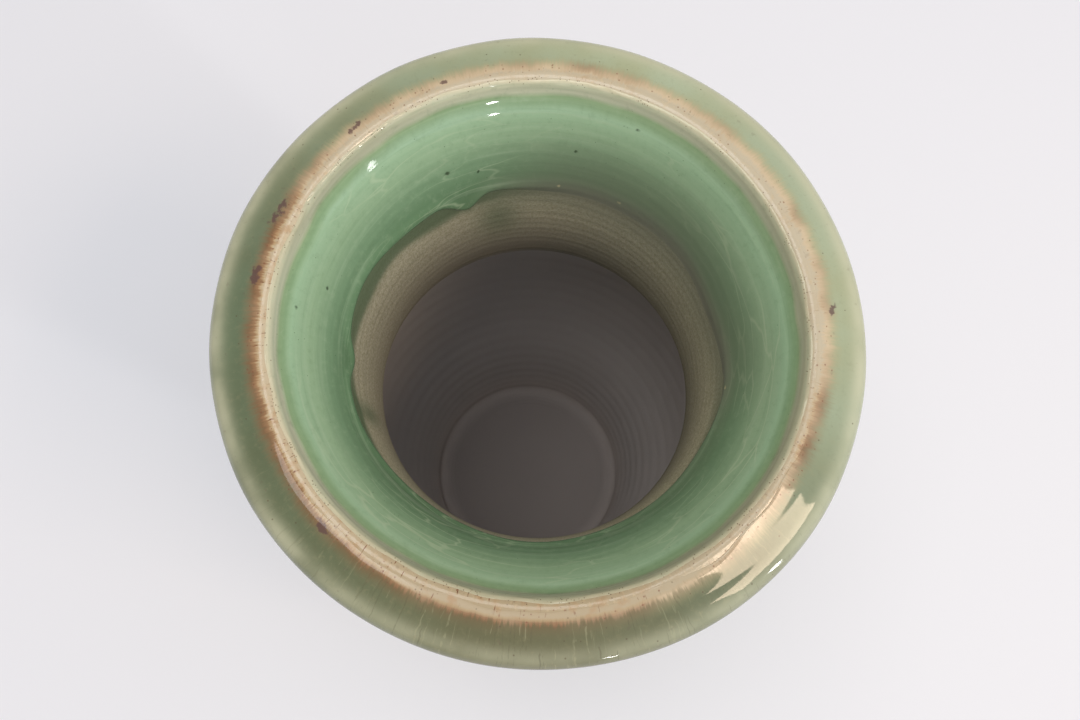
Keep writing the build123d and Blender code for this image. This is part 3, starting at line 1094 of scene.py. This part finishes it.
# Mouth glaze: how it fades towards its lower edge, its specks and spots, and its relief
FADES = (
    ((24 * MM, 5 * MM), colour(119, 134, 109)),
    ((8 * MM, 0.5 * MM), colour(150, 150, 133)),
)
MOUTH_SPECKS = ((70, 1500), 0.2, 0.6, colour(60, 78, 50), 0.025)
MOUTH_SPOTS = (
    ("specks", (0.3, 0.8, 0.0, 0.8), colour(48, 62, 42)),
    ("spots", (0.3, 0.8, 0.0, 0.85), colour(206, 196, 156)),
)
MOUTH_WAVES = (5, 200, 0, 2)
MOUTH_RELIEF = (0.2 * MM, 0.3)


def mouth_glaze_paint():
    """Glossy green celadon, banded, pale on the bevel with painted shade over parts of it, dark in the pool
    and at the drips.
    """
    paint = Paint("mouth_glaze", GLOSS)
    sway = paint.times(paint.grain(*SWAY), SWAY_SIZE)
    depth = paint.plus(paint.layer("from_start"), paint.less(sway, SWAY_SIZE / 2))
    # Painted shade on the bevel, most on the near side
    on_bevel = paint.times(paint.between(depth, *BEVEL_SHADE_STEP), paint.layer("painted_shade"))
    tone = paint.mix(on_bevel, paint.ramp(depth, MOUTH_STOPS), BEVEL_SHADE_TONE)
    for grain, patches in MOUTH_GRAINS:
        tone = patched(paint, tone, paint.grain(*grain), patches)
    shown = paint.times(paint.clouds(*ARC_PLACES), paint.between(depth, *ARC_DEPTH))
    tone = paint.mix(paint.times(paint.crackle(*ARCS), shown), tone, ARC_TONE)
    tone = patched(paint, tone, paint.layer("from_end"), FADES, paint.layer("fade"))
    tone = dotted_band(paint, dotted(paint, tone, *MOUTH_SPECKS), *PINHOLES)
    for label, step, tint in MOUTH_SPOTS:
        tone = paint.mix(paint.between(paint.layer(label), *step), tone, tint)
    paint.link("Base Color", tone)
    paint.relief(paint.grain(*MOUTH_WAVES), *MOUTH_RELIEF)
    return paint.material


# Clay: the crest, under a skin of glaze
CREST_ROUGHNESS = 0.2
CREST_GRAIN = (60, 1300, 0, 4)
CREST_PATCHES = (((0.5, 0.75, 0.0, 0.35), colour(196, 172, 128)),)
CREST_ROUGHNESS_STEP = (0.4, 0.65, GLOSS, 0.3)
CREST_RELIEF = (0.06 * MM, 0.4)

# Clay: bare, with its sand, lines and grit, and the colours of its layers: painted shade towards the
# throat, and grey deep inside
CLAY_ROUGHNESS = 0.75
CLAY_SPECULAR = 0.3
SAND = (70, 1900, 0, 4, 0.7)
SAND_STEP = (0.35, 0.65)
SAND_TONES = (colour(166, 158, 131), colour(200, 193, 169))
SAND_RELIEF = (0.15 * MM, 0.5)
CLAY_LINES = (1.5, 900)
CLAY_LINE_PATCHES = (((0.45, 0.8, 0.0, 0.25), colour(142, 134, 108)),)
GRIT = ((70, 2000), 0.25, 0.6, colour(112, 96, 72), 0.12)
# The first layer is painted shade towards the throat
CLAY_LAYERS = (("painted_throat_shade", colour(122, 115, 105)), ("deep", colour(202, 197, 194)))
STAIN_SHARE = 0.9
STAIN_TONES = (colour(94, 112, 83), colour(126, 126, 109))

# Clay: painted light on the lowest wall, growing towards the inner floor, and painted shade over the floor
# disc, by metres past the edge of the inner floor
FLOOR_PAINTED_LIGHT_AND_SHADE = (
    ((-34 * MM, -4 * MM), colour(224, 217, 212)),
    ((-2 * MM, 6 * MM), colour(170, 163, 160)),
)


def crest_clay_paint():
    """Cream clay on the crest, under a skin of glaze so thin that pinholes show."""
    paint = Paint("crest_clay", CREST_ROUGHNESS)
    grain = paint.grain(*CREST_GRAIN)
    tone = patched(paint, lip_tone(paint)[0], grain, CREST_PATCHES)
    paint.link("Base Color", blotched(paint, worn_cream(paint, tone, 1.0)))
    paint.link("Roughness", paint.between(grain, *CREST_ROUGHNESS_STEP))
    paint.relief(grain, *CREST_RELIEF)
    return paint.material


def bare_clay_paint():
    """Fired buff stoneware, sandy and lined, with painted shade towards the throat, greyer deep inside,
    with painted light and shade about the inner floor, and with glaze run over the neck.
    """
    paint = Paint("bare_clay", CLAY_ROUGHNESS, CLAY_SPECULAR)
    sand = paint.grain(*SAND)
    tone = paint.mix(paint.between(sand, *SAND_STEP), *SAND_TONES)
    tone = patched(paint, tone, paint.grain(*CLAY_LINES), CLAY_LINE_PATCHES)
    tone = dotted(paint, tone, *GRIT)
    # Painted shade towards the throat, then the grey clay deep inside
    for label, tint in CLAY_LAYERS:
        tone = paint.mix(paint.layer(label), tone, tint)
    past_edge = paint.less(paint.from_crest(), (wall.end - AT_CREST).item())
    # Painted light up the lowest wall and painted shade over the floor disc soften the step in brightness
    # at the corner
    tone = patched(paint, tone, past_edge, FLOOR_PAINTED_LIGHT_AND_SHADE)
    stain = paint.times(paint.layer("stain"), STAIN_SHARE)
    tone = paint.mix(stain, tone, paint.mix(paint.layer("fade"), *STAIN_TONES))
    paint.link("Base Color", tone)
    paint.relief(sand, *SAND_RELIEF)
    return paint.material


def place_piece(piece, paint, node):
    """Paints a piece, and lets it stand for its node of the frame."""
    piece.data.materials.append(paint)
    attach(piece, "root")
    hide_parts(node)


crest_clay = crest_clay_paint()
bare_clay = bare_clay_paint()
place_piece(make_foot_ring(), bare_clay, "foot_ring")
place_piece(make_base_disc(), bare_clay, "base_disc")
place_piece(make_lower_body(), bare_clay, "lower_body")
place_piece(make_shoulder(), bare_clay, "shoulder")
place_piece(make_neck(), bare_clay, "neck")
place_piece(make_rolled_lip(), crest_clay, "rolled_lip")
place_piece(make_outer_glaze(), outer_glaze_paint(), "outer_glaze")
place_piece(make_mouth_glaze(), mouth_glaze_paint(), "mouth_glaze")

# Camera: it looks down into the mouth from the near side
IMAGE_WIDTH = 1080
FOCAL_PIXELS = 950.0
SENSOR = 36.0
CLIP_START = 5 * MM
CAMERA_PLACE = Vector((-4 * MM, -47.7 * MM, 390 * MM))
CAMERA_TILT = math.radians(13.97)
CAMERA_YAW = 0.023


def make_camera():
    lens = bpy.data.cameras.new("camera")
    lens.sensor_width = SENSOR
    lens.lens = SENSOR * FOCAL_PIXELS / IMAGE_WIDTH
    lens.clip_start = CLIP_START
    camera = bpy.data.objects.new("camera", lens)
    bpy.context.scene.collection.objects.link(camera)
    camera.location = CAMERA_PLACE
    ahead = Vector((CAMERA_YAW, math.sin(CAMERA_TILT), -math.cos(CAMERA_TILT))).normalized()
    right = Vector((1, 0, 0)).cross(ahead).cross(-ahead).normalized()
    up = right.cross(ahead)
    camera.rotation_euler = Matrix((right, up, -ahead)).transposed().to_euler()
    bpy.context.scene.camera = camera


# Stage: a pale floor, a sky that is brighter on the right, and lamps that face the mouth.
# Lamps: name, place, width, depth, shape, colour, and radiance, which is what a mirror would show of them.
FLOOR_SIZE = 6.0
FLOOR_TONE = colour(238, 239, 243)
FLOOR_ROUGHNESS = 0.8
FLOOR_SPECULAR = 0.2
WARM = colour(255, 228, 200)
SOFT = colour(255, 252, 250)
WHITE = colour(255, 255, 255)
LAMPS = (
    ("panel", Vector((0.595, -0.306, 1.074)), 0.345, 0.25, "RECTANGLE", WARM, 10.5),
    ("top_sheet", Vector((-0.2, 0.05, 1.45)), 0.7, 0.7, "RECTANGLE", SOFT, 3.2),
    ("lamp_1", Vector((1.285, -0.931, 0.696)), 0.085, 0.36, "ELLIPSE", WHITE, 40.0),
    ("lamp_2", Vector((1.353, -0.962, 0.395)), 0.075, 0.075, "ELLIPSE", WHITE, 16.0),
    ("lamp_3", Vector((0.423, -1.595, 0.375)), 0.08, 0.08, "ELLIPSE", WHITE, 60.0),
)
FILLED = {"RECTANGLE": 1.0, "ELLIPSE": math.pi / 4}
AIM = Vector((0, 0, HEIGHT))
SKY_BRIGHT = colour(236, 243, 255, 0.95)
SKY_DIM = colour(255, 248, 243, 0.5)
SKY_SIDE = Vector((0.66, -0.5, 0.57))
SKY_STEP = (0.15, 1.0)


def make_floor():
    bpy.ops.mesh.primitive_plane_add(size=FLOOR_SIZE)
    floor = bpy.context.object
    floor.name = "floor"
    paint = Paint("floor", FLOOR_ROUGHNESS, FLOOR_SPECULAR)
    paint.link("Base Color", FLOOR_TONE)
    floor.data.materials.append(paint.material)


def make_lamp(name, place, width, depth, shape, tone, radiance):
    light = bpy.data.lights.new(name, "AREA")
    light.shape = shape
    light.size = width
    light.size_y = depth
    light.energy = radiance * math.pi * width * depth * FILLED[shape]
    light.color = tone[:3]
    lamp = bpy.data.objects.new(name, light)
    bpy.context.scene.collection.objects.link(lamp)
    lamp.location = place
    lamp.rotation_euler = (AIM - place).to_track_quat("-Z", "Y").to_euler()


def make_sky():
    """A soft sky, bright and cool on one side, dim and warm away from it."""
    world = bpy.data.worlds.new("sky")
    world.use_nodes = True
    nodes = Nodes(world.node_tree)
    place = nodes.add("ShaderNodeTexCoord", {}).outputs["Generated"]
    inputs = {0: place, 1: SKY_SIDE.normalized()}
    towards = nodes.add("ShaderNodeVectorMath", inputs, operation="DOT_PRODUCT").outputs["Value"]
    tone = nodes.mix(nodes.between(towards, *SKY_STEP), SKY_DIM, SKY_BRIGHT)
    nodes.feed(nodes.tree.nodes["Background"].inputs["Color"], tone)
    bpy.context.scene.world = world


make_camera()
make_floor()
for lamp_values in LAMPS:
    make_lamp(*lamp_values)
make_sky()
bpy.context.scene.view_settings.view_transform = "Standard"
